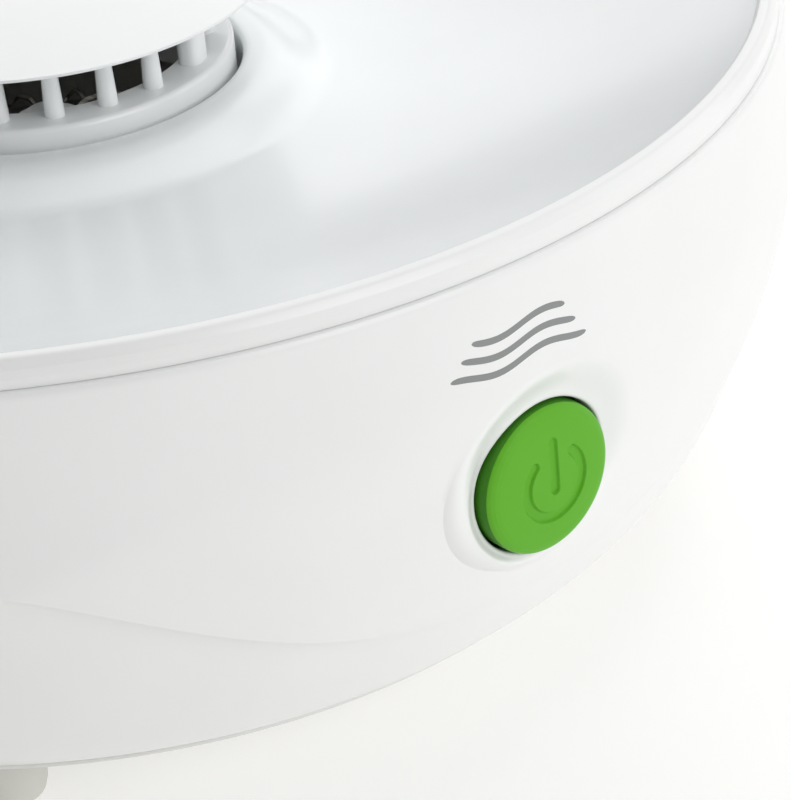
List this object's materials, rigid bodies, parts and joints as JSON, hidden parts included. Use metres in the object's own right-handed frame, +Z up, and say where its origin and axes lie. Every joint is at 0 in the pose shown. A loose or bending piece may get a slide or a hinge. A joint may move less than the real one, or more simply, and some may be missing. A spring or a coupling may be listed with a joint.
{
  "type": "food dehydrator base",
  "caption": "Round powered base of a food dehydrator: bowl casing, dished top with a capped air-outlet hub, fan, heater, motor, push button and feet.",
  "frame": {"origin": "on the ground under the centre of the hub", "axes": "+Z up along the hub and fan axis, the push button faces -Y, the cord gland faces +Y"},
  "size_m": [0.331, 0.331, 0.132],
  "materials": {
    "bowl_white": "moulded, satin gloss",
    "dish_white": "moulded, polished",
    "hub_white": "moulded, satin gloss",
    "cover_grey_white": "moulded, matt",
    "foot_grey": "matt",
    "button_green": "fine matt",
    "black_plastic": "matt",
    "duct_grey": "matt",
    "zinc_steel": "zinc plated",
    "silicon_steel": "laminated, oiled",
    "brass": "sintered",
    "copper_wire": "enamelled copper",
    "mica_board": "flaked board",
    "heater_wire_alloy": "oxidised resistance wire",
    "natural_nylon": "natural",
    "wire_sleeve": "glass braid sleeve"
  },
  "bodies": {
    "base": {"outer_shell": "bowl_white", "top_dish": "dish_white", "hub_grille": "hub_white", "hub_cap": "hub_white", "bottom_cover": "cover_grey_white", "foot_front_left": "foot_grey", "foot_front_right": "foot_grey", "foot_rear_left": "foot_grey", "foot_rear_right": "foot_grey", "case_screw_1": "zinc_steel", "case_screw_2": "zinc_steel", "case_screw_3": "zinc_steel", "case_screw_4": "zinc_steel", "cap_screw_1": "zinc_steel", "cap_screw_2": "zinc_steel", "cap_screw_3": "zinc_steel", "air_duct": "duct_grey", "duct_screw_1": "zinc_steel", "duct_screw_2": "zinc_steel", "duct_screw_3": "zinc_steel", "motor_bracket": "zinc_steel", "bracket_screw_left": "zinc_steel", "bracket_screw_right": "zinc_steel", "lower_bearing_bracket": "zinc_steel", "upper_bearing_bracket": "zinc_steel", "stator_core": "silicon_steel", "coil_bobbin": "natural_nylon", "motor_winding": "copper_wire", "lower_bearing": "brass", "upper_bearing": "brass", "motor_screw_left": "zinc_steel", "motor_screw_right": "zinc_steel", "motor_nut_left": "zinc_steel", "motor_nut_right": "zinc_steel", "heat_shield": "zinc_steel", "heater_board_x": "mica_board", "heater_board_y": "mica_board", "heater_coil": "heater_wire_alloy", "thermostat": "zinc_steel", "thermal_fuse": "natural_nylon", "thermostat_wire": "wire_sleeve", "terminal_block": "natural_nylon", "terminal_screw": "zinc_steel", "motor_wire": "wire_sleeve", "heater_wire": "wire_sleeve", "switch_wire_a": "wire_sleeve", "switch_wire_b": "wire_sleeve", "switch_body": "black_plastic", "switch_bracket": "duct_grey", "switch_screw_left": "zinc_steel", "switch_screw_right": "zinc_steel", "button_spring": "zinc_steel", "cord_gland": "cover_grey_white"},
    "fan": {"fan_impeller": "natural_nylon", "motor_shaft": "zinc_steel", "motor_rotor": "silicon_steel", "fan_clip": "zinc_steel"},
    "button": {"button_cap": "button_green", "switch_plunger": "natural_nylon"}
  },
  "joints": [
    {"name": "fan_spin", "type": "hinge", "parent": "base", "child": "fan", "pos_m": [0, 0, 0.0615], "axis": [0, 0, 1], "continuous": true},
    {"name": "button_push", "type": "slide", "parent": "base", "child": "button", "axis": [0, 1, 0], "range_m": [0, 0.0025], "stiffness_N_per_m": 400, "springref_m": -0.003, "deforming": ["button_spring"]}
  ]
}
